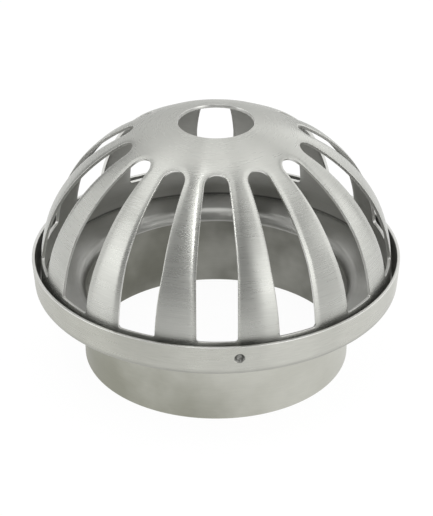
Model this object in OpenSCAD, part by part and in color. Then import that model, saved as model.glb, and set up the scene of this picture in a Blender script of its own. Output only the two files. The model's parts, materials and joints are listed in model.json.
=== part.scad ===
// Flat roof drain: a deep-drawn base pan with a spigot, and a slotted dome strainer that stands in it.
// Millimetres, +Z up. The origin is the centre of the spigot's open lower end, which stands on Z = 0.
// Front is -Y: one slot of the dome faces it.

/* [Sheet] */
// Thickness of the stainless sheet that both pieces are pressed from
sheet_t = 1.2; // [0.8:0.1:2]

/* [Spigot] */
// Outside diameter of the spigot, which slips into a light-wall 100 mm rainwater pipe
spigot_d = 106; // [90:1:112]
// Height of the pan floor's underside above the spigot's lower end
spigot_drop = 32; // [20:1:60]
// Bend radius between spigot and floor, on the side that faces the roof
shoulder_r = 3.2; // [2:0.2:6]

/* [Rim] */
// Outside diameter of the pan at its rim edge
rim_d = 145; // [140:1:180]
// Height of the upright band, from the floor's underside to the rim edge
band_h = 12.6; // [10:0.2:20]
// How far the band leans outwards from upright, in degrees
band_draft = 4; // [0:0.5:8]
// Bend radius between floor and band, on the inside
corner_r = 1.2; // [1:0.1:2]

/* [Dimples] */
// Number of round dimples punched inwards through the band
dimple_count = 3; // [2:1:8]
// Direction of the first dimple, in degrees to the right of the front
dimple_turn = 6.5; // [-15:0.5:15]
// Diameter of a dimple's mouth
dimple_d = 4; // [3:0.2:5]
// Depth of a dimple's centre line below the rim edge
dimple_drop = 5; // [4:0.2:6]
// Flank angle of a dimple, measured from its axis, in degrees
dimple_flank = 38; // [20:1:40]
// Gap left between a dimple's tip and the dome's ring
dimple_gap = 0.4; // [0.2:0.1:0.8]

/* [Dome] */
// Gap between the dome's foot and the start of the pan's inner corner
foot_gap = 0.3; // [0.2:0.1:1]
// Height of the crown above the floor that the dome stands on
dome_rise = 68.6; // [55:0.2:80]
// Height over which the skirt stands upright, above the floor
skirt_h = 6.5; // [3:0.5:12]
// Diameter of the round hole in the crown
crown_hole_d = 29.5; // [20:0.5:40]

/* [Slots] */
// Number of slots round the dome
slot_count = 14; // [8:1:18]
// Width of a slot over its parallel lower part
slot_w = 15; // [8:0.5:18]
// Half of the angle between a slot's two tapered sides, in degrees
slot_taper = 7; // [4:0.25:8]
// Distance from the dome's axis to the round inner end of a slot
slot_start = 32.6; // [26:0.2:38]
// Height of the plain ring below the slots
ring_h = 11.4; // [6:0.2:16]
// Corner radius at the lower end of a slot
slot_corner_r = 1; // [0.5:0.1:3]

/* [Hidden] */
$fn = 96;

// Overshoot of a cutter past the surface that it cuts
over = 1;
// Overlap of each bend with the straight stretch next to it, so that one run of sheet is one solid
lap = 0.002;
// Reach of the slots' sill cutter inwards from the ring's outer face, past the wall but not to the far side
sill_reach = 8;

// Lengths worked out by trigonometry are rounded to a micron, so that faces meant to meet do meet
function micron(length) = round(length * 1000) / 1000;

// Pan
spigot_r = spigot_d / 2;
floor_z = spigot_drop + sheet_t;
rim_z = spigot_drop + band_h;
// Outer radius of the corner bend, and the centre that its arcs share
corner_outer_r = corner_r + sheet_t;
corner_z = spigot_drop + corner_outer_r;
corner_x = micron(rim_d / 2 - (corner_outer_r + (rim_z - corner_z) * sin(band_draft)) / cos(band_draft));
// Centre of the shoulder bend, under the floor and outside the spigot
shoulder_x = spigot_r + shoulder_r;
shoulder_z = spigot_drop - shoulder_r;

// Dome: an upright skirt under a half ellipse
dome_r = corner_x - foot_gap;
crown_z = floor_z + dome_rise;
skirt_z = floor_z + skirt_h;
arch_h = crown_z - skirt_z;

// Slots
sill_z = floor_z + ring_h;
slot_end_x = slot_start / (1 - sin(slot_taper));
slot_end_r = slot_end_x * sin(slot_taper);

// Dimples: the band's outer face at their height, and the depth that leaves the gap to the dome's ring
dimple_z = rim_z - dimple_drop;
dimple_x = rim_d / 2 - dimple_drop * tan(band_draft);
band_gap = dimple_x - sheet_t / cos(band_draft) - dome_r;
dimple_depth = band_gap - dimple_gap;

// Cross-section of an upright or leaning leg of sheet, from a point on its outer face
module leg_section(x, z, length, lean = 0) {
    translate([x, z]) rotate(-lean) translate([-sheet_t, 0]) square([sheet_t, length]);
}

// Cross-section of a bend of sheet between two directions, which are less than 180 degrees apart
module bend_section(x, z, outer_r, start, end) {
    reach = 2 * outer_r;
    lap_angle = lap / outer_r * 180 / PI;
    from = start - lap_angle;
    to = end + lap_angle;
    mid = (from + to) / 2;
    translate([x, z]) intersection() {
        difference() {
            circle(r = outer_r);
            circle(r = outer_r - sheet_t);
        }
        polygon([
            [0, 0],
            reach * [cos(from), sin(from)],
            reach * [cos(mid), sin(mid)] / cos((to - from) / 2),
            reach * [cos(to), sin(to)]
        ]);
    }
}

// Half cross-section of the pan: spigot, shoulder, floor, corner and band in one run of sheet
module base_section() {
    band_foot = corner_outer_r * [cos(band_draft), -sin(band_draft)];
    leg_section(spigot_r, 0, shoulder_z);
    bend_section(shoulder_x, shoulder_z, shoulder_r + sheet_t, 90, 180);
    translate([shoulder_x, spigot_drop]) square([corner_x - shoulder_x, sheet_t]);
    bend_section(corner_x, corner_z, corner_outer_r, -90, -band_draft);
    difference() {
        leg_section(corner_x + band_foot[0], corner_z + band_foot[1], 2 * band_h, band_draft);
        translate([0, rim_z]) square([rim_d, 2 * band_h]);
    }
}

// Half ellipse on the skirt's upper edge, with its two half axes
module arch(across, up) {
    translate([0, skirt_z]) scale([1, up / across]) circle(r = across);
}

// Half cross-section of the dome: skirt and arch, cut off square at the crown hole
module dome_section() {
    leg_section(dome_r, floor_z, skirt_h);
    difference() {
        arch(dome_r, arch_h);
        arch(dome_r - sheet_t, arch_h - sheet_t);
        translate([-dome_r, 0]) square([dome_r + crown_hole_d / 2, crown_z + over]);
        translate([-dome_r, skirt_z - arch_h - over]) square([2 * dome_r + over, arch_h + over]);
    }
}

// Shape along +Z, turned at each dimple so that it points square into the band from its outer face
module at_dimples() {
    for (i = [0 : dimple_count - 1])
        rotate(dimple_turn - 90 + i * 360 / dimple_count)
            translate([dimple_x, 0, dimple_z]) rotate([0, 90 - band_draft, 180]) children();
}

// Cone of a dimple between two depths below the band's outer face, with its radius at that face
module dimple_cone(mouth_r, from, to) {
    slope = tan(dimple_flank);
    translate([0, 0, from]) cylinder(h = to - from, r1 = mouth_r - from * slope, r2 = mouth_r - to * slope);
}

// Plan of one slot that points along -Y: a round inner end, tapered sides, then parallel sides
module slot_plan() {
    far = dome_r + over;
    tangent = slot_end_x * cos(slot_taper);
    intersection() {
        union() {
            translate([0, -slot_end_x]) circle(r = slot_end_r);
            polygon([
                tangent * [-sin(slot_taper), -cos(slot_taper)],
                tangent * [sin(slot_taper), -cos(slot_taper)],
                far * [tan(slot_taper), -1],
                far * [-tan(slot_taper), -1]
            ]);
        }
        translate([-slot_w / 2, -far]) square([slot_w, far]);
    }
}

// Cutter for one slot: its plan carried up from the lower corners, and a sill with rounded corners
module slot_cutter() {
    half = slot_w / 2 - slot_corner_r;
    translate([0, 0, sill_z + slot_corner_r])
        linear_extrude(crown_z - sill_z) slot_plan();
    translate([0, -dome_r - over, sill_z + slot_corner_r]) rotate([-90, 0, 0])
        linear_extrude(over + sill_reach) {
            translate([-half, 0]) square([2 * half, slot_corner_r]);
            for (side = [-1, 1]) translate([side * half, 0]) circle(r = slot_corner_r);
        }
}

module drain_base() {
    color("#B7B8B0")
    difference() {
        union() {
            rotate_extrude() base_section();
            // The pushed-in metal starts in mid wall, so that nothing of it stands out of the band
            at_dimples() dimple_cone(dimple_d / 2 + sheet_t, sheet_t / 2, dimple_depth + sheet_t);
        }
        at_dimples() dimple_cone(dimple_d / 2, -over, dimple_depth);
    }
}

module dome_strainer() {
    color("#C6C8C1")
    difference() {
        rotate_extrude() dome_section();
        for (i = [0 : slot_count - 1]) rotate(i * 360 / slot_count) slot_cutter();
    }
}

drain_base();
dome_strainer();
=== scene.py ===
# %% [markdown]
# # A flat roof drain in stainless steel
#
# The real object is two pressings of the same 1.2 mm sheet. The base is a shallow round pan with an
# upright band round it and a spigot below, drawn from one disc. The strainer is a dome with fourteen
# long slots, which stands loose in the pan and is kept central by three dimples in the band.
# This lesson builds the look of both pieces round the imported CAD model, then gives them a brushed
# finish, a floor, soft light and a camera. Blender works in metres, in the frame of the CAD model.
# Sizes of the drain are written in millimetres and multiplied by MM where a mesh or a pattern is made.

# %% Load the frame
import json
import math

import bpy
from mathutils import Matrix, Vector


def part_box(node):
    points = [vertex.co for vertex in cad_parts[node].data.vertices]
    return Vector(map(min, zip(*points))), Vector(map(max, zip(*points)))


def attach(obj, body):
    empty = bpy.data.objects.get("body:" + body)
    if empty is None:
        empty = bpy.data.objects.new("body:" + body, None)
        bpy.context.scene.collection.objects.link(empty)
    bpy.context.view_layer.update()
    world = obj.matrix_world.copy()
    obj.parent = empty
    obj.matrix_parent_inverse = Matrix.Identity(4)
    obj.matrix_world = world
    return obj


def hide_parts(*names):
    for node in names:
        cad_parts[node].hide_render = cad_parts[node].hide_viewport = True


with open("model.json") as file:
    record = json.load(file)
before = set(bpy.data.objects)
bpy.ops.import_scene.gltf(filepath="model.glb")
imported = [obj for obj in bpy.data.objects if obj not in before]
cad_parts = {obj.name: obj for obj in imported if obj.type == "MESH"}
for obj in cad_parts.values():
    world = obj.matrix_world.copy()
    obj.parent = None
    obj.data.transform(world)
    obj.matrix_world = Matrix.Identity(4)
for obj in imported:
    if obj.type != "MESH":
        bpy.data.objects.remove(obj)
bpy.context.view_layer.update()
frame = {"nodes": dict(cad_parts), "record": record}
MM = 0.001
print("CAD nodes:", sorted(frame["nodes"]))

# %% [markdown]
# ## Sizes
#
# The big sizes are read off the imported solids, so the pieces made here can't drift away from them:
# the box of each node gives the rim, the floor and the dome's foot, and the stated mounts give the
# spigot and the pan's underside. The rest is what a box can't tell: bend radii, the slots and the
# dimples. These are the same values that the CAD source has.

# %% Sizes read off the solids, in millimetres
def box_in_mm(node):
    low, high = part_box(node)
    return [c / MM for c in low], [c / MM for c in high]


def to_micron(length):
    return round(length * 1000) / 1000


base_high = box_in_mm("drain_base")[1]
dome_low, dome_high = box_in_mm("dome_strainer")
mounts = {m["name"]: m for m in frame["record"]["mounts"]}

SHEET = 1.2
SPIGOT_R = round(mounts["spigot_outside"]["dims"]["r_mm"], 3)
FLOOR_UNDER = round(mounts["pan_underside"]["pos_m"][2] / MM, 3)
FLOOR_TOP = FLOOR_UNDER + SHEET
RIM_R = round(base_high[0], 2)
RIM_Z = round(base_high[2], 2)
DOME_R = to_micron(dome_high[0])
print("spigot", SPIGOT_R, "floor", FLOOR_UNDER, "rim", RIM_R, RIM_Z)
print("dome", DOME_R, "foot", round(dome_low[2], 2))

# %% Sizes that a box can't tell, in millimetres
SHOULDER_R = 3.2
CORNER_R = 1.2
BAND_LEAN = math.radians(4)

DIMPLES = 3
DIMPLE_TURN = math.radians(6.5)
DIMPLE_MOUTH_R = 2.0
DIMPLE_DROP = 5.0
DIMPLE_FLANK = math.radians(38)
DIMPLE_GAP = 0.4

DOME_RISE = 68.6
SKIRT_H = 6.5
CROWN_HOLE_R = 14.75
SLOTS = 14
SLOT_HALF = 7.5
SLOT_TAPER = math.radians(7)
SLOT_START = 32.6
RING_H = 11.4
SLOT_CORNER_R = 1.0
print("a slot is", 2 * SLOT_HALF, "wide and ends", SLOT_START, "from the axis;", SLOTS, "of them")

# %% [markdown]
# ## Small helpers for modelling
#
# Every operator acts on what is selected, so each step starts from nothing selected. Faces and points
# are picked in code by their place. Directions round the drain are given from the front, which is -Y,
# towards the right: the camera's side is at 0.

# %% Places and selection
def place(r, z, turn=0.0):
    """Point at radius r and height z in mm, turned from the front, in metres."""
    return (r * math.sin(turn) * MM, -r * math.cos(turn) * MM, z * MM)


def only(obj):
    bpy.ops.object.select_all(action="DESELECT")
    obj.select_set(True)
    bpy.context.view_layer.objects.active = obj


def edit(obj, select="SELECT"):
    only(obj)
    bpy.ops.object.mode_set(mode="EDIT")
    bpy.ops.mesh.select_mode(type="VERT")
    bpy.ops.mesh.select_all(action=select)


def leave():
    bpy.ops.object.mode_set(mode="OBJECT")


def select_above(obj, z):
    """Selects the points of obj that lie higher than z in mm; called in edit mode."""
    leave()
    for vertex in obj.data.vertices:
        vertex.select = vertex.co.z / MM > z
    bpy.ops.object.mode_set(mode="EDIT")


# %% Shaping and reporting
MERGE_WITHIN = 0.004


def spin(angle, steps, centre=(0, 0, 0), axis=(0, 0, 1), copies=False):
    """Spins what is selected about an axis. With no window the operator turns the other way, so the
    axis is negated."""
    bpy.ops.mesh.spin(steps=steps, angle=angle, dupli=copies, center=centre, axis=[-a for a in axis])


def merge_doubles():
    bpy.ops.mesh.select_all(action="SELECT")
    bpy.ops.mesh.remove_doubles(threshold=MERGE_WITHIN * MM)


def use_modifier(obj, kind, **settings):
    """Adds a modifier, sets it and applies it."""
    modifier = obj.modifiers.new(kind.title(), kind)
    for name, value in settings.items():
        setattr(modifier, name, value)
    only(obj)
    bpy.ops.object.modifier_apply(modifier=modifier.name)


def count_faces(obj, finish):
    return sum(1 for face in obj.data.polygons if face.material_index == finish)


def report(obj):
    points = [v.co for v in obj.data.vertices]
    size = [round((max(p[i] for p in points) - min(p[i] for p in points)) / MM, 2) for i in range(3)]
    triangles = sum(len(face.vertices) - 2 for face in obj.data.polygons)
    kinds = [count_faces(obj, finish) for finish in range(len(obj.data.materials))]
    print(f"{obj.name}: {len(points)} points, {triangles} triangles, {size} mm, faces by finish {kinds}")


# %% [markdown]
# ## Writing shader maths as Python
#
# A finish is an expression of place: brush lines run round the axis, so they depend on height and
# radius. One small class wraps a socket, and its operators add Math nodes. Any other node comes from
# one method that sets its options first and then its sockets.

# %% A socket that does arithmetic
class Value:
    """One socket of a graph. Each operator adds a Math node, with a number or a value on either side."""
    def __init__(self, graph, socket):
        self.graph, self.socket = graph, socket

    def __add__(self, other): return self.graph.math("ADD", self, other)
    def __sub__(self, other): return self.graph.math("SUBTRACT", self, other)
    def __mul__(self, other): return self.graph.math("MULTIPLY", self, other)
    def __truediv__(self, other): return self.graph.math("DIVIDE", self, other)
    def __pow__(self, other): return self.graph.math("POWER", self, other)

    def __radd__(self, other): return self.graph.math("ADD", other, self)
    def __rsub__(self, other): return self.graph.math("SUBTRACT", other, self)
    def __rmul__(self, other): return self.graph.math("MULTIPLY", other, self)
    def __rtruediv__(self, other): return self.graph.math("DIVIDE", other, self)
    def __rpow__(self, other): return self.graph.math("POWER", other, self)


# %% A material's nodes
class Graph:
    def __init__(self, tree):
        self.tree = tree
        tree.nodes.clear()

    def add(self, kind, settings=None, values=None):
        """Adds a node: its settings first, then the values or links of its sockets."""
        node = self.tree.nodes.new(kind)
        for name, value in (settings or {}).items():
            setattr(node, name, value)
        for name, value in (values or {}).items():
            if isinstance(value, Value):
                self.tree.links.new(value.socket, node.inputs[name])
            else:
                node.inputs[name].default_value = value
        return node

    def out(self, node, name=0):
        return Value(self, node.outputs[name])

    def math(self, operation, *inputs):
        return self.out(self.add("ShaderNodeMath", {"operation": operation}, dict(enumerate(inputs))))

    def noise(self, vector, detail, roughness, w=0.0, scale=1.0):
        return self.out(self.add("ShaderNodeTexNoise", {"noise_dimensions": "4D"}, {
            "Vector": vector, "W": w, "Scale": scale, "Detail": detail, "Roughness": roughness}))

    def vector(self, x, y, z):
        return self.out(self.add("ShaderNodeCombineXYZ", None, {"X": x, "Y": y, "Z": z}))

    def mix(self, factor, a, b):
        """Mixes two colours: in RGBA mode sockets 6 and 7 take them, and output 2 gives the result."""
        node = self.add("ShaderNodeMix", {"data_type": "RGBA"}, {"Factor": factor, 6: a, 7: b})
        return self.out(node, 2)

    def smooth(self, value, low, high):
        """Rises gently from 0 at low to 1 at high."""
        return self.out(self.add("ShaderNodeMapRange", {"interpolation_type": "SMOOTHSTEP"}, {
            "Value": value, "From Min": low, "From Max": high, "To Min": 0.0, "To Max": 1.0}))


# %% [markdown]
# ## Brushed stainless steel
#
# The pieces are brushed while they turn, so fine lines run round the axis. A picture of brushed metal
# would have to be unwrapped, and its lines would pinch at the crown. Noise needs no unwrapping: it
# is drawn out along the turn and packed close along height and radius. It is asked for the cosine and
# sine of the turn and not for the turn itself, which would leave a seam where it starts again.

# %% Brush lines and clouds
LINE_PITCH = 0.4 * MM
LINE_LENGTH = 5 * MM
LENGTH_TRUE_AT = 65 * MM
BAND_LINES = 5
CLOUDS_PER_METRE = 38.0
CLOUD_LOW, CLOUD_HIGH = 0.3, 0.7
NOT_ZERO = 1e-6


def brushed(g, x, y, z, radius, pitch, length, detail):
    """Lines round the axis, pitch apart, whose length is true at the radius LENGTH_TRUE_AT."""
    cosine, sine = x / (radius + NOT_ZERO), y / (radius + NOT_ZERO)
    along = LENGTH_TRUE_AT / length
    return g.noise(g.vector(cosine * along, sine * along, z * (1 / pitch)), detail, roughness=0.62,
                   w=radius * (1 / pitch))


def clouded(g, spot):
    """Slow change over the sheet, 0 to 1, from handling and from the press."""
    cloud = g.noise(spot, detail=3.0, roughness=0.55, scale=CLOUDS_PER_METRE)
    return g.smooth(cloud, CLOUD_LOW, CLOUD_HIGH)


print("lines", LINE_PITCH / MM, "mm apart, bands of", BAND_LINES, "lines, clouds about",
      round(1 / CLOUDS_PER_METRE / MM), "mm wide")

# %% [markdown]
# Drawing leaves a thin film of lubricant on the metal. It is duller and a little yellow-green, with a
# broken edge. The same darker colour also paints shade: it grows towards -X, the side in shade, and
# towards the spigot's foot, and there it is painted shade and not film. A second colour mixed in by a
# soft mask of place and noise shows both without a second mesh.

# %% The drawing film and painted shade
# Colour of the film, which also serves as painted shade.
FILM_AND_SHADE_COLOUR = (0.255, 0.255, 0.205)
FILM_PATCHES_PER_METRE = 26.0
LEFT_SHADE_GAIN = 10.0
FILM_BREAKUP = 1.3
FOOT_SHADE_LINE = 16 * MM
FILM_AND_SHADE_STARTS, FILM_AND_SHADE_FULL = -0.25, 0.70


def film_and_shade_mask(g, spot, x, z, fall):
    """How thick the film and the painted shade lie, 0 to 1. The painted shade gains towards -X, and by fall
    for each metre below the height where the foot's painted shade starts.
    """
    patches = g.noise(spot, detail=4.0, roughness=0.6, scale=FILM_PATCHES_PER_METRE)
    # The lean to -X and the fall below the line are painted shade; the patches give the film's broken edge.
    thickness = x * -LEFT_SHADE_GAIN + (patches - 0.5) * FILM_BREAKUP + (FOOT_SHADE_LINE - z) * fall
    return g.smooth(thickness, FILM_AND_SHADE_STARTS, FILM_AND_SHADE_FULL)


print("film is full from", round(FILM_AND_SHADE_FULL / LEFT_SHADE_GAIN / MM), "mm left of the axis")

# %% [markdown]
# The material puts it together. The lines hide in the colour, a little in the roughness, and hardly at
# all in the bump, because the real scratches are very shallow. Lines that run round a piece spread its
# reflections across them, up and down the metal, which is what the anisotropy is for: without a
# tangent link Cycles takes its direction round the Z axis, and a quarter turn of the rotation lays the
# long highlights along the meridians. At the crown all meridians meet, and such highlights would make
# a star of rays. The real cap is rubbed in all directions, so there a plain satin metal is mixed in.
# Under a ledge, or at a foot that stands on another piece, shade falls over a short height. A soft
# step in height, up to a few millimetres tall, paints that shade into the colour.

# %% The steel material
LINE_DEPTH = 0.03 * MM
BAND_SHARE = 0.25
BAND_GLOSS = 0.06
CLOUD_GLOSS = 0.03
LINE_GLOSS = 0.04
ACROSS_THE_LINES = 0.25
CROWN_EVEN_TO, CROWN_ENDS = 25 * MM, 38 * MM
CROWN_CALM = 0.9
SATIN_EXTRA = 0.16


def steel(name, colour, cloud_colour, roughness, stretch, line_tone, line_depth=LINE_DEPTH,
          line_length=LINE_LENGTH, line_gloss=LINE_GLOSS, even_crown=0.0, film_and_shade=0.0, foot_shade_fall=0.0,
          shade=None):
    """Brushed steel. A shade is painted shade: the height where it starts, how far down it is full, and its
    depth.
    """
    material = bpy.data.materials.new(name)
    material.use_nodes = True
    g = Graph(material.node_tree)
    spot = g.out(g.add("ShaderNodeTexCoord"), "Object")
    axes = g.add("ShaderNodeSeparateXYZ", None, {0: spot})
    x, y, z = (g.out(axes, k) for k in range(3))
    radius = (x * x + y * y) ** 0.5

    lines = brushed(g, x, y, z, radius, LINE_PITCH, line_length, detail=0.5)
    bands = brushed(g, x, y, z, radius, LINE_PITCH * BAND_LINES, line_length * BAND_LINES, detail=1.0)
    tone = clouded(g, spot)
    grain_and_shade = (lines - 0.5) * line_tone + (bands - 0.5) * (line_tone * BAND_SHARE)
    base_colour = g.mix(tone, (*colour, 1), (*cloud_colour, 1))
    if even_crown:
        crown = (1 - g.smooth(radius, CROWN_EVEN_TO, CROWN_ENDS)) * even_crown
        grain_and_shade = grain_and_shade * (1 - crown * CROWN_CALM)
    # The film colour is painted shade where it leans to -X and falls towards the foot.
    if film_and_shade:
        base_colour = g.mix(film_and_shade_mask(g, spot, x, z, foot_shade_fall) * film_and_shade, base_colour, (*FILM_AND_SHADE_COLOUR, 1))
    # Painted shade: the colour darkens below top, where shade falls under a ledge or at a foot.
    if shade:
        top, height, depth = shade
        grain_and_shade = grain_and_shade - (1 - g.smooth(z, top - height, top)) * depth

    scaled = g.out(g.add("ShaderNodeVectorMath", {"operation": "SCALE"},
                         {0: base_colour, "Scale": grain_and_shade + 1}))
    dull = (lines - 0.5) * line_gloss + (bands - 0.5) * BAND_GLOSS + tone * CLOUD_GLOSS + roughness
    bump = g.out(g.add("ShaderNodeBump", None, {"Strength": 1.0, "Distance": line_depth, "Height": lines}))
    surface = g.out(g.add("ShaderNodeBsdfPrincipled", None, {
        "Base Color": scaled, "Metallic": 1.0, "Roughness": dull, "Normal": bump,
        "Anisotropic": stretch, "Anisotropic Rotation": ACROSS_THE_LINES}))
    if even_crown:
        satin = g.out(g.add("ShaderNodeBsdfPrincipled", None, {
            "Base Color": scaled, "Metallic": 1.0, "Roughness": dull + SATIN_EXTRA, "Normal": bump}))
        surface = g.out(g.add("ShaderNodeMixShader", None, {0: crown, 1: surface, 2: satin}))
    g.add("ShaderNodeOutputMaterial", None, {"Surface": surface})
    print(f"{name}: {len(material.node_tree.nodes)} nodes")
    return material


# %% [markdown]
# The pan needs five finishes. The band is brushed, with a trace of film and painted shade at its left,
# and painted shade at the bend under it. The spigot is left as it was drawn, so it is duller, with much
# film and few lines, and its darkening towards the left and the foot is painted shade. The two inner
# faces are darker, which is painted shade. The metal that the punch has dragged is dull, with no long
# highlights, and darker with dirt and painted shade of the hollow.
# Each finish is one colour, its cloudy second colour, a roughness and how far the highlights stretch.

# %% Finishes of the pan
# The band's shade is painted shade at the bend under it.
pan_outside = steel("pan_outside", (0.588, 0.589, 0.543), (0.544, 0.545, 0.502), 0.27, 1.0,
                    line_tone=0.22, film_and_shade=0.3, shade=(35.2 * MM, 2.6 * MM, 0.30))
spigot_outside = steel("spigot_outside", (0.57, 0.57, 0.52), (0.52, 0.52, 0.47), 0.42, 0.4,
                       line_tone=0.10, film_and_shade=0.85, foot_shade_fall=18.0)
# The inner faces are darker than the outer ones: painted shade.
pan_inside_shaded = steel("pan_inside_shaded", (0.48, 0.48, 0.459), (0.385, 0.385, 0.365), 0.33, 0.7,
                   line_tone=0.16)
# The spigot's inside is the darkest: painted shade inside the spigot.
spigot_inside_shaded = steel("spigot_inside_shaded", (0.275, 0.275, 0.25), (0.13, 0.13, 0.112), 0.40, 0.4,
                      line_tone=0.10, film_and_shade=0.3)
# Dark inside the dimples: partly dirt, partly painted shade of the hollow.
punched_dirt_and_shade = steel("punched_dirt_and_shade", (0.30, 0.30, 0.285), (0.24, 0.24, 0.225), 0.40, 0.0,
                      line_tone=0.10, line_depth=0.01 * MM)

# %% [markdown]
# The dome is brushed outside, with the even satin cap, and duller inside, darker by painted shade,
# with a painted dark line of shade where its foot stands on the pan. The cut and eased edges of both
# pieces are tumbled, and their lighter colour is a painted highlight.

# %% Finishes of the dome and of the cut edges
FINE_DEPTH = 0.003 * MM
dome_outside = steel("dome_outside", (0.557, 0.561, 0.528), (0.517, 0.521, 0.490), 0.26, 1.0,
                     line_tone=0.22, line_depth=FINE_DEPTH, line_length=7 * MM, even_crown=0.8)
# Darker inside than outside: painted shade, with a painted dark line of shade at the foot.
dome_inside_shaded = steel("dome_inside_shaded", (0.45, 0.45, 0.428), (0.41, 0.41, 0.388), 0.42, 0.4,
                    line_tone=0.16, shade=(34.4 * MM, 0.5 * MM, 0.62))
# The cut edges are lighter than the sheet: a painted highlight.
painted_edge_highlight = steel("painted_edge_highlight", (0.76, 0.76, 0.73), (0.71, 0.71, 0.68), 0.30, 0.2,
                    line_tone=0.04, line_depth=FINE_DEPTH, line_gloss=0.0)

# %% The order of a piece's finishes
OUTER, INNER, CUT_EDGE, SPIGOT_OUTER, SPIGOT_INNER, PUNCHED = range(6)


def dress(obj, *finishes):
    """Gives a piece its finishes in that order. The first three are there before its wall is made."""
    for material in finishes:
        obj.data.materials.append(material)


# %% [markdown]
# ## The base pan
#
# A press draws the pan from one disc, so its wall is one run of sheet: up the spigot, round the
# shoulder, out along the floor, round the corner and up the leaning band. Cutting it from primitives
# would leave seams where the metal has bends. So only the line of the outer face is drawn, from a
# single point that is extruded along the straight legs and spun round each bend. The line stands just
# beside the first dimple, because the skin is made finer there than elsewhere.

# %% Legs and bends of a section
def draw_leg(length_r, length_z, steps, turn):
    """Extrudes the drawn line's end point along a straight leg of the section."""
    stride = place(length_r / steps, length_z / steps, turn)
    for _ in range(steps):
        bpy.ops.mesh.extrude_region_move(TRANSFORM_OT_translate={"value": stride})


def draw_bend(centre_r, centre_z, angle, steps, turn):
    """Spins the line's end point round a bend's centre, in the plane of the section."""
    across = (math.cos(turn), math.sin(turn), 0)
    spin(angle, steps, place(centre_r, centre_z, turn), across)


# %% Draw the pan's outer line
corner_outer = CORNER_R + SHEET
corner_z = FLOOR_UNDER + corner_outer
lean_out = (corner_outer + (RIM_Z - corner_z) * math.sin(BAND_LEAN)) / math.cos(BAND_LEAN)
corner_r = to_micron(RIM_R - lean_out)
shoulder_centre = (SPIGOT_R + SHOULDER_R, FLOOR_UNDER - SHOULDER_R)
band_foot = (corner_r + corner_outer * math.cos(BAND_LEAN), corner_z - corner_outer * math.sin(BAND_LEAN))

SPIGOT_STEPS, SHOULDER_STEPS, FLOOR_STEPS, CORNER_STEPS, BAND_STEPS = 12, 10, 6, 9, 30
FINE_HALF = math.radians(3.2)
start_turn = DIMPLE_TURN - FINE_HALF

bpy.ops.object.select_all(action="DESELECT")
bpy.ops.object.add(type="MESH")
base = bpy.context.object
base.name = "pan"
edit(base)
bpy.ops.mesh.primitive_plane_add(size=MM, location=place(SPIGOT_R, 0, start_turn))
bpy.ops.mesh.merge(type="CENTER")
draw_leg(0, shoulder_centre[1], SPIGOT_STEPS, start_turn)
draw_bend(*shoulder_centre, math.pi / 2, SHOULDER_STEPS, start_turn)
draw_leg(corner_r - shoulder_centre[0], 0, FLOOR_STEPS, start_turn)
draw_bend(corner_r, corner_z, -(math.pi / 2 - BAND_LEAN), CORNER_STEPS, start_turn)
draw_leg(RIM_R - band_foot[0], RIM_Z - band_foot[1], BAND_STEPS, start_turn)
leave()
for end in (base.data.vertices[0].co, base.data.vertices[-1].co):
    end_r = math.hypot(end.x, end.y)
    print("the line has an end at radius", round(end_r / MM, 2), "height", round(end.z / MM, 2))

# %% [markdown]
# The line becomes a skin by spinning it round the drain's axis. The three dimples need a fine mesh,
# and the plain stretches between them don't, so the spin is fine across the first dimple and coarse
# to the next one. That third of the pan is then copied twice by a spin that makes duplicates.

# %% Spin the skin
FINE_STEPS, COARSE_STEPS = 24, 62
third = 2 * math.pi / DIMPLES
edit(base)
spin(2 * FINE_HALF, FINE_STEPS)
spin(third - 2 * FINE_HALF, COARSE_STEPS)
bpy.ops.mesh.select_all(action="SELECT")
spin(third * (DIMPLES - 1), DIMPLES - 1, copies=True)
merge_doubles()
bpy.ops.mesh.normals_make_consistent(inside=False)
leave()
report(base)

# %% [markdown]
# Spinning can leave a skin inside out. A wall made from such a skin would grow the wrong way, so the
# faces are checked against the axis and flipped if need be. Then the skin gets the sheet's thickness
# inwards, and the rim, which leans with the band, is pressed level by scaling its height to nothing.

# %% Give the pan the sheet's thickness
RIM_REACH = 0.05


def outward(obj):
    """Sums how far the faces look away from the axis: below 0 means that the skin is inside out."""
    total = 0.0
    for face in obj.data.polygons:
        total += (face.normal.x * face.center.x + face.normal.y * face.center.y) * face.area
    return total


def turn_out(obj):
    if outward(obj) < 0:
        edit(obj)
        bpy.ops.mesh.flip_normals()
        leave()


def thicken(obj):
    use_modifier(obj, "SOLIDIFY", thickness=SHEET * MM, offset=-1, use_even_offset=True,
                 material_offset=INNER, material_offset_rim=CUT_EDGE)


turn_out(base)
dress(base, pan_outside, pan_inside_shaded, painted_edge_highlight)
thicken(base)
edit(base, "DESELECT")
select_above(base, RIM_Z - RIM_REACH)
bpy.ops.transform.resize(value=(1, 1, 0), center_override=(0, 0, RIM_Z * MM))
leave()
report(base)

# %% [markdown]
# The blank's cut edges are deburred before the drain is sold, so no edge is sharp. A narrow bevel on
# the rim and on the spigot's foot catches the light as the real edge does. Only those edges are sharp,
# so an angle limit finds them.

# %% Ease the pan's cut edges
PAN_EDGE = 0.26
EDGE_STEPS = 3
SHARP = math.radians(50)


def ease_edges(obj, width):
    use_modifier(obj, "BEVEL", width=width * MM, segments=EDGE_STEPS, limit_method="ANGLE",
                 angle_limit=SHARP, material=CUT_EDGE)


ease_edges(base, PAN_EDGE)
report(base)

# %% [markdown]
# Only the band is brushed on its outer side. Below the pan's floor the metal stays as it left the
# press: duller and almost without lines. So the faces below the floor get a finish of their own.

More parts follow.
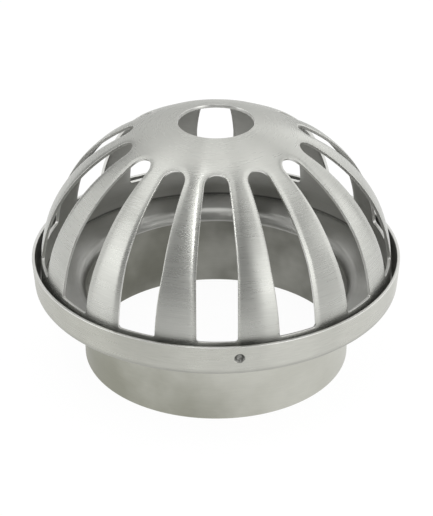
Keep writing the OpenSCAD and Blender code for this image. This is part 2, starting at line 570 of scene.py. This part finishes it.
# %% Leave the spigot as it was drawn
UNDERSIDE_REACH = 0.02
dress(base, spigot_outside, spigot_inside_shaded)
for face in base.data.polygons:
    if face.material_index == OUTER and face.center.z < (FLOOR_UNDER + UNDERSIDE_REACH) * MM:
        face.material_index = SPIGOT_OUTER
    # The spigot's inner faces take the darkest finish, which is painted shade.
    if face.material_index == INNER and face.center.z < (FLOOR_UNDER - SHOULDER_R) * MM:
        face.material_index = SPIGOT_INNER
print("faces left dull outside:", count_faces(base, SPIGOT_OUTER))
print("faces left dull inside:", count_faces(base, SPIGOT_INNER))

# %% [markdown]
# Each dimple is punched from outside into the finished band, and its tip keeps the dome central. A
# punch drags the metal with it, so both faces of the sheet move along the punch's axis: the outer one
# over the punch's own width, the inner one a little wider, as the wall follows. The mouth and the
# floor are rounded. A cutter would leave a hard rim and a hole, so the points are pushed instead.

# %% Shape of the punch
dimple_z = RIM_Z - DIMPLE_DROP
dimple_r = RIM_R - DIMPLE_DROP * math.tan(BAND_LEAN)
band_gap = dimple_r - SHEET / math.cos(BAND_LEAN) - DOME_R
dimple_depth = band_gap - DIMPLE_GAP
tip_r = DIMPLE_MOUTH_R - dimple_depth * math.tan(DIMPLE_FLANK)

# How much wider than the punch the mouth and the floor of the dent come out, on each face of the sheet.
OUTER_MOUTH, OUTER_FLOOR = 0.12, -0.1
INNER_MOUTH, INNER_FLOOR = 0.55, 0.15
PUNCH_ALONG, PUNCH_ROUND = 2, 4
print("gap beside the dome", round(band_gap, 3))
print("dimple", round(dimple_depth, 3), "deep, tip radius", round(tip_r, 3))


# %% Punch the dimples
def ease(value):
    value = min(max(value, 0.0), 1.0)
    return value * value * (3 - 2 * value)


def punch(obj, turn):
    """Pushes the points round one dimple along the punch's axis, most inside its floor."""
    centre = [c / MM for c in place(dimple_r, dimple_z, turn)]
    inward = math.cos(BAND_LEAN)
    axis = [-inward * math.sin(turn), inward * math.cos(turn), math.sin(BAND_LEAN)]
    pushed = 0
    for vertex in obj.data.vertices:
        offset = [c / MM - o for c, o in zip(vertex.co, centre)]
        along = sum(a * b for a, b in zip(offset, axis))
        away = math.sqrt(max(sum(o * o for o in offset) - along * along, 0.0))
        if abs(along) > PUNCH_ALONG or away > PUNCH_ROUND:
            continue
        if along > SHEET / 2:
            mouth, floor = DIMPLE_MOUTH_R + INNER_MOUTH, tip_r + INNER_FLOOR
        else:
            mouth, floor = DIMPLE_MOUTH_R + OUTER_MOUTH, tip_r + OUTER_FLOOR
        push = dimple_depth * ease((mouth - away) / (mouth - floor))
        if push > 0:
            vertex.co = [c + a * push * MM for c, a in zip(vertex.co, axis)]
            pushed += 1
    return pushed


def dull_and_shade_dimple(obj, turn):
    """Gives the outer faces inside one dimple the dull finish that the punch leaves, whose darker colour is
    partly dirt and partly painted shade of the hollow.
    """
    centre = Vector(place(dimple_r, dimple_z, turn))
    for face in obj.data.polygons:
        if face.material_index == OUTER and (face.center - centre).length < DIMPLE_MOUTH_R * MM:
            face.material_index = PUNCHED


dress(base, punched_dirt_and_shade)
for number in range(DIMPLES):
    turn = DIMPLE_TURN + number * third
    moved = punch(base, turn)
    dull_and_shade_dimple(base, turn)
    print("dimple", number + 1, "points pushed:", moved, "faces dulled so far:", count_faces(base, PUNCHED))

# %% [markdown]
# ## The dome strainer
#
# The dome is drawn as a half ellipse on a short upright skirt, and the slots are punched through it:
# each has a round inner end, sides that open out from it as spokes do, then run parallel, and a sill
# with small corner radii above the plain ring. Booleans would leave long thin faces along every slot,
# which show as streaks in brushed metal. So one half of one slot's sector is laid out as three flat
# grids whose lines follow the slot's outline, and their points are placed on the dome: the rib beside
# the slot, the ring below it and the cap above it.

# %% The dome's surface
skirt_z = FLOOR_TOP + SKIRT_H
arch_h = FLOOR_TOP + DOME_RISE - skirt_z
sill_z = FLOOR_TOP + RING_H
half_pitch = math.pi / SLOTS


def lift(z):
    """Ellipse angle at a height above the skirt."""
    return math.asin((z - skirt_z) / arch_h)


def reach(r):
    """Ellipse angle at a radius."""
    return math.acos(r / DOME_R)


def on_dome(angle):
    """Radius and height at an ellipse angle."""
    return DOME_R * math.cos(angle), skirt_z + arch_h * math.sin(angle)


def wall_r(z):
    return DOME_R if z <= skirt_z else DOME_R * math.cos(lift(z))


print("skirt ends at", round(skirt_z, 2), "sill at", round(sill_z, 2))
print("crown at", round(skirt_z + arch_h, 2))

# %% [markdown]
# The slot's outline is listed once, from the middle of its sill round to its round end. Two points on
# it, half way round the corner and half way round the end, are where the three grids meet. Each point
# is a radius, a height and a turn from the slot's middle.

# %% Points of the slot's outline
slot_end_x = SLOT_START / (1 - math.sin(SLOT_TAPER))
slot_end_r = slot_end_x * math.sin(SLOT_TAPER)
side_start = slot_end_x * math.cos(SLOT_TAPER)
side_split = SLOT_HALF / math.sin(SLOT_TAPER)


def corner_point(angle):
    """Corner of the sill: 90 degrees at the sill, 0 at the slot's side."""
    aside = SLOT_HALF - SLOT_CORNER_R * (1 - math.cos(angle))
    z = sill_z + SLOT_CORNER_R * (1 - math.sin(angle))
    return wall_r(z), z, math.asin(aside / wall_r(z))


def end_point(angle):
    """Round inner end, as seen from above: 0 at the tip."""
    along = slot_end_x - slot_end_r * math.cos(angle)
    aside = slot_end_r * math.sin(angle)
    return (*on_dome(reach(math.hypot(along, aside))), math.atan2(aside, along))


def side_point(angle):
    """The slot's side: a spoke at first, then parallel with the slot's middle."""
    r, z = on_dome(angle)
    return r, z, min(SLOT_TAPER, math.asin(SLOT_HALF / r))


print("round end at", round(slot_end_x, 2), "with radius", round(slot_end_r, 2))
print("tapered from", round(side_start, 2), "to", round(side_split, 2))

# %% The slot's outline
SILL_STEPS, HALF_CORNER_STEPS, PARALLEL_STEPS, TAPER_STEPS, HALF_END_STEPS, TIP_STEPS = 6, 3, 17, 24, 4, 5
half_way = math.pi / 4


def steps(start, stop, count):
    return [start + (stop - start) * k / count for k in range(count + 1)]


sill = [(wall_r(sill_z), sill_z, math.asin(aside / wall_r(sill_z)))
        for aside in steps(0, SLOT_HALF - SLOT_CORNER_R, SILL_STEPS)[:-1]]
sill += [corner_point(a) for a in steps(2 * half_way, half_way, HALF_CORNER_STEPS)]
side = [corner_point(a) for a in steps(half_way, 0, HALF_CORNER_STEPS)[:-1]]
side += [side_point(a) for a in steps(lift(sill_z + SLOT_CORNER_R), reach(side_split), PARALLEL_STEPS)[:-1]]
side += [side_point(a) for a in steps(reach(side_split), reach(side_start), TAPER_STEPS)[:-1]]
side += [end_point(a) for a in steps(math.pi / 2 - SLOT_TAPER, half_way, HALF_END_STEPS)]
tip = [end_point(a) for a in steps(0, half_way, TIP_STEPS)]
print("outline points:", len(sill), "along the sill,", len(side), "up the side,", len(tip), "round the tip")

# %% [markdown]
# A flat grid primitive has the right points in the right order, so it only has to be given its shape.
# Its lines lie close together beside the slot, where the metal rolls over, and wider further away.

# %% A grid on the dome
FIRST_ROW = 0.35
GROWTH_STEP = 0.005


def away_from_slot(width, count):
    """Shares of a width, from the slot's edge: the first row is FIRST_ROW wide and each next one wider."""
    growth = 1.0
    while sum(FIRST_ROW * growth ** k for k in range(count)) < width:
        growth += GROWTH_STEP
    marks = [0.0]
    for k in range(count):
        marks.append(marks[-1] + FIRST_ROW * growth ** k)
    return [m / marks[-1] for m in marks]


def grid(name, lines):
    """A grid primitive whose points are placed on a list of equally long lines of points."""
    across, up = len(lines[0]) - 1, len(lines) - 1
    bpy.ops.object.select_all(action="DESELECT")
    bpy.ops.mesh.primitive_grid_add(x_subdivisions=across, y_subdivisions=up, size=1)
    obj = bpy.context.object
    obj.name = name
    for vertex in obj.data.vertices:
        i, j = round((vertex.co.x + 0.5) * across), round((vertex.co.y + 0.5) * up)
        vertex.co = place(*lines[j][i])
    report(obj)
    return obj


# %% Lay the three grids
RIB_ROWS, RING_ROWS, CAP_ROWS = 9, 10, 16


def rib_line(point):
    """From a point of the outline across to the middle of the rib."""
    r, z, turn = point
    width = half_pitch - turn
    return [(r, z, turn + width * share) for share in away_from_slot(width * r, RIB_ROWS)]


def ring_line(share):
    """Round the ring, a share of the way from the sill down to the foot."""
    heights = [(top + (FLOOR_TOP - top) * share, turn) for _, top, turn in ring_top]
    return [(wall_r(z), z, turn) for z, turn in heights]


def cap_line(share):
    """Round the cap, a share of the way from the slots up to the crown hole."""
    crown = reach(CROWN_HOLE_R)
    return [(*on_dome(reach(r) + (crown - reach(r)) * share), turn) for r, _, turn in cap_foot]


rib_lines = [rib_line(point) for point in side]
ring_top = sill[:-1] + rib_lines[0]
ring_lines = [ring_line(share) for share in reversed(away_from_slot(RING_H, RING_ROWS))]
cap_foot = tip[:-1] + rib_lines[-1]
cap_lines = [cap_line(share) for share in away_from_slot(reach(CROWN_HOLE_R) * DOME_R / 2, CAP_ROWS)]
patches = [grid("rib", rib_lines), grid("ring", ring_lines), grid("cap", cap_lines)]

# %% [markdown]
# A punch pulls the sheet down a little before it cuts, so the outer face rolls over towards every slot.
# The roll is soft and about two millimetres wide, and it makes each rib look slightly rounded across.
# Each point near the outline sinks along the dome's own normal, most at the edge.

# %% Roll the faces over towards the slot
ROLL_WIDTH = 2.2
ROLL_DROP = 0.24
outline = [Vector(place(*point)) for point in sill + side + tip[::-1]]


def distance_to_outline(spot):
    """Shortest distance in mm from a spot to the slot's outline."""
    best = math.inf
    for start, stop in zip(outline, outline[1:]):
        leg = stop - start
        if leg.length > 0:
            share = min(max((spot - start).dot(leg) / leg.length_squared, 0), 1)
            best = min(best, (start + leg * share - spot).length)
    return best / MM


def roll_over(obj):
    sunk = 0
    for vertex in obj.data.vertices:
        away = distance_to_outline(vertex.co)
        if away < ROLL_WIDTH:
            x, y, z = (c / MM for c in vertex.co)
            rise = max(z - skirt_z, 0)
            inward = Vector((-x / DOME_R ** 2, -y / DOME_R ** 2, -rise / arch_h ** 2)).normalized()
            vertex.co += inward * ROLL_DROP * (1 - away / ROLL_WIDTH) ** 2 * MM
            sunk += 1
    print(obj.name, "points rolled over:", sunk)


for patch in patches:
    roll_over(patch)

# %% [markdown]
# The three grids are joined and merged where they meet. A mirrored copy makes the whole sector, and a
# duplicating spin sets it round the axis. The faces are made to look outwards before the wall gets its
# thickness, because afterwards the same command would turn the inner skin round.

# %% Join, mirror and repeat the sector
bpy.ops.object.select_all(action="DESELECT")
for patch in patches:
    patch.select_set(True)
bpy.context.view_layer.objects.active = patches[0]
bpy.ops.object.join()
dome = bpy.context.object
dome.name = "strainer"
edit(dome)
merge_doubles()
bpy.ops.mesh.duplicate()
bpy.ops.transform.resize(value=(-1, 1, 1), center_override=(0, 0, 0))
merge_doubles()
spin(2 * half_pitch * (SLOTS - 1), SLOTS - 1, copies=True)
merge_doubles()
bpy.ops.mesh.normals_make_consistent(inside=False)
leave()
turn_out(dome)
report(dome)

# %% [markdown]
# The skin gets the sheet's thickness inwards, with its own material slots for the inner face and for
# the punched edges. Every punched edge is tumbled smooth, so a bevel rounds them all, a little more
# than on the pan. Both pieces are then shaded smooth, with normals weighted by the size of the faces,
# so that the broad faces stay true and the narrow bevels carry the turn.

# %% Give the dome its wall and eased edges
SLOT_EDGE = 0.34
FACE_WEIGHT = 50
dress(dome, dome_outside, dome_inside_shaded, painted_edge_highlight)
thicken(dome)
ease_edges(dome, SLOT_EDGE)
report(dome)

for piece in (base, dome):
    only(piece)
    bpy.ops.object.shade_smooth()
    use_modifier(piece, "WEIGHTED_NORMAL", keep_sharp=False, weight=FACE_WEIGHT)

# %% [markdown]
# ## Putting the pieces on the frame
#
# Each piece stands for its CAD node, which is hidden, and rides on the one body.
# The dome only stands in the pan, so the two share a body and nothing between them moves.

# %% Ride and replace
base.name, dome.name = "pan_pressing", "dome_pressing"
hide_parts("drain_base")
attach(base, "root")
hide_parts("dome_strainer")
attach(dome, "root")
print(base.name, "stands for drain_base and", dome.name, "for dome_strainer")

# %% [markdown]
# ## Floor
#
# The drain stands on a plain pale floor that carries its shadow. Metal shows whatever is round it, and
# low on the drain that is mostly the floor. So the floor is mostly a plain white for the camera and in
# reflections, and the rest of it is matt, which lets a faint shadow through. To the light that falls
# on the drain it is all matt, so that the white adds nothing to the lamps.

# %% A pale floor
FLOOR_SIZE = 12
FLOOR_WHITE = 1.035
WHITE_SHARE = 0.92
FLOOR_MATT = (0.9, 0.9, 0.9, 1)

bpy.ops.object.select_all(action="DESELECT")
bpy.ops.mesh.primitive_plane_add(size=FLOOR_SIZE, location=(0, 0, 0))
floor = bpy.context.object
floor.name = "floor"
material = bpy.data.materials.new("floor")
material.use_nodes = True
g = Graph(material.node_tree)
rays = g.add("ShaderNodeLightPath")
seen = g.math("MAXIMUM", g.out(rays, "Is Camera Ray"), g.out(rays, "Is Glossy Ray"))
seen = g.math("MAXIMUM", seen, g.out(rays, "Is Transmission Ray"))
matt = g.out(g.add("ShaderNodeBsdfDiffuse", None, {"Color": FLOOR_MATT}))
white = g.out(g.add("ShaderNodeEmission", None, {"Color": (1, 1, 1, 1), "Strength": FLOOR_WHITE}))
both = g.out(g.add("ShaderNodeMixShader", None, {0: seen * WHITE_SHARE, 1: matt, 2: white}))
g.add("ShaderNodeOutputMaterial", None, {"Surface": both})
floor.data.materials.append(material)
print("floor", FLOOR_SIZE, "m across, white to camera and metal for a share of", WHITE_SHARE)

# %% [markdown]
# ## Light
#
# Brushed metal has few tones of its own: each rib shows the lamp that lies in its mirror direction,
# drawn out up and down by the brush lines. So the studio is laid out by direction. Overhead hang three
# soft panels for the cap and a front one at the right, and a narrow bright strip at the left of the
# front makes the light streak down the left near rib. Boxes stand round the drain, facing it, and the
# gaps between them are the dark sides of the ribs. All are large for their distance, so they are soft.

# %% Lamps overhead
OVERHEAD = 1.6


def area_lamp(name, where, width, height, level):
    """Adds an area lamp whose face has a brightness of level, where 1 is plain white."""
    bpy.ops.object.select_all(action="DESELECT")
    bpy.ops.object.light_add(type="AREA", location=where)
    lamp = bpy.context.object
    lamp.name = name
    lamp.data.shape = "RECTANGLE"
    lamp.data.size, lamp.data.size_y = width, height
    lamp.data.energy = level * math.pi * width * height
    print(f"{name}: {width:.2f} by {height:.2f} m, level {level}")
    return lamp


def overhead(name, left, right, front, back, level):
    """Looks straight down from OVERHEAD metres and fills a rectangle of the ceiling, in metres."""
    area_lamp(name, ((left + right) / 2, (front + back) / 2, OVERHEAD), right - left, back - front, level)


overhead("strip_over_front", -0.40, -0.23, -1.8, -0.3, 5.1)
overhead("panel_over_left", -1.40, -0.42, -0.3, 1.2, 1.15)
overhead("panel_over_middle", -0.24, 0.24, -0.3, 1.2, 1.25)
overhead("panel_over_right", 0.36, 1.20, -0.3, 1.2, 1.3)
overhead("panel_over_right_front", 0.80, 1.40, -1.8, -0.3, 0.65)

# %% Boxes round the drain
AIM_HEIGHT = 0.06
BOX_DISTANCE = 1.6


def softbox(name, left, right, low, high, level):
    """Fills a window of directions in degrees, as seen from the drain: turns from the front towards
    the right, and heights above the floor."""
    turn, height = math.radians((left + right) / 2), math.radians((low + high) / 2)
    flat = BOX_DISTANCE * math.cos(height)
    where = (flat * math.sin(turn), -flat * math.cos(turn), AIM_HEIGHT + BOX_DISTANCE * math.sin(height))
    width = 2 * flat * math.tan(math.radians(right - left) / 2)
    tall = 2 * BOX_DISTANCE * math.tan(math.radians(high - low) / 2)
    area_lamp(name, where, width, tall, level).rotation_euler = (math.pi / 2 - height, 0, turn)


softbox("front_low_strip", -11, 1, 2, 38, 0.42)
softbox("right_near_box", 27, 62, 2, 38, 1.62)
softbox("right_middle_box", 62, 82, 2, 38, 0.45)
softbox("right_far_box", 82, 122, 2, 38, 1.08)
softbox("right_back_box", 122, 160, 2, 38, 0.75)
softbox("left_near_box", -82, -63, 2, 38, 1.5)
softbox("back_box", 150, 215, 6, 50, 0.5)
softbox("left_far_box", -130, -82, 2, 38, 0.72)

# %% [markdown]
# The room behind the boxes is a dim, even grey, so the gaps between them never look black. Together
# with the lamps it lights a matt surface at about the level at which its colour was written.

# %% A dim room
ROOM_GREY = (0.32, 0.32, 0.32, 1)
world = bpy.data.worlds.new("studio")
bpy.context.scene.world = world
world.use_nodes = True
g = Graph(world.node_tree)
air = g.out(g.add("ShaderNodeBackground", None, {"Color": ROOM_GREY, "Strength": 1.0}))
g.add("ShaderNodeOutputWorld", None, {"Surface": air})
print("room grey", ROOM_GREY[0])

# %% [markdown]
# ## Camera
#
# The camera looks down at thirty degrees with a long lens, and one slot faces it almost squarely. A
# long lens keeps the near and the far side of the rim at almost the same scale.

# %% Camera
CAMERA_TURN = math.radians(-0.33)
CAMERA_BACK = 622.45
CAMERA_UP = 397.54
AIM_ASIDE, AIM_UP = 0.18, 40.48
LENS = 126.416
CLIP_NEAR, CLIP_FAR = 0.01, 50

bpy.ops.object.select_all(action="DESELECT")
bpy.ops.object.camera_add(location=place(CAMERA_BACK, CAMERA_UP, CAMERA_TURN))
camera = bpy.context.object
camera.name = "camera"
camera.data.lens = LENS
camera.data.clip_start, camera.data.clip_end = CLIP_NEAR, CLIP_FAR
aim = Vector((AIM_ASIDE * math.cos(CAMERA_TURN) * MM, AIM_ASIDE * math.sin(CAMERA_TURN) * MM, AIM_UP * MM))
camera.rotation_euler = (aim - camera.location).to_track_quat("-Z", "Y").to_euler()
bpy.context.scene.camera = camera
bpy.context.scene.view_settings.view_transform = "Standard"
print("camera", round((aim - camera.location).length, 3), "m from its aim, lens", LENS, "mm")
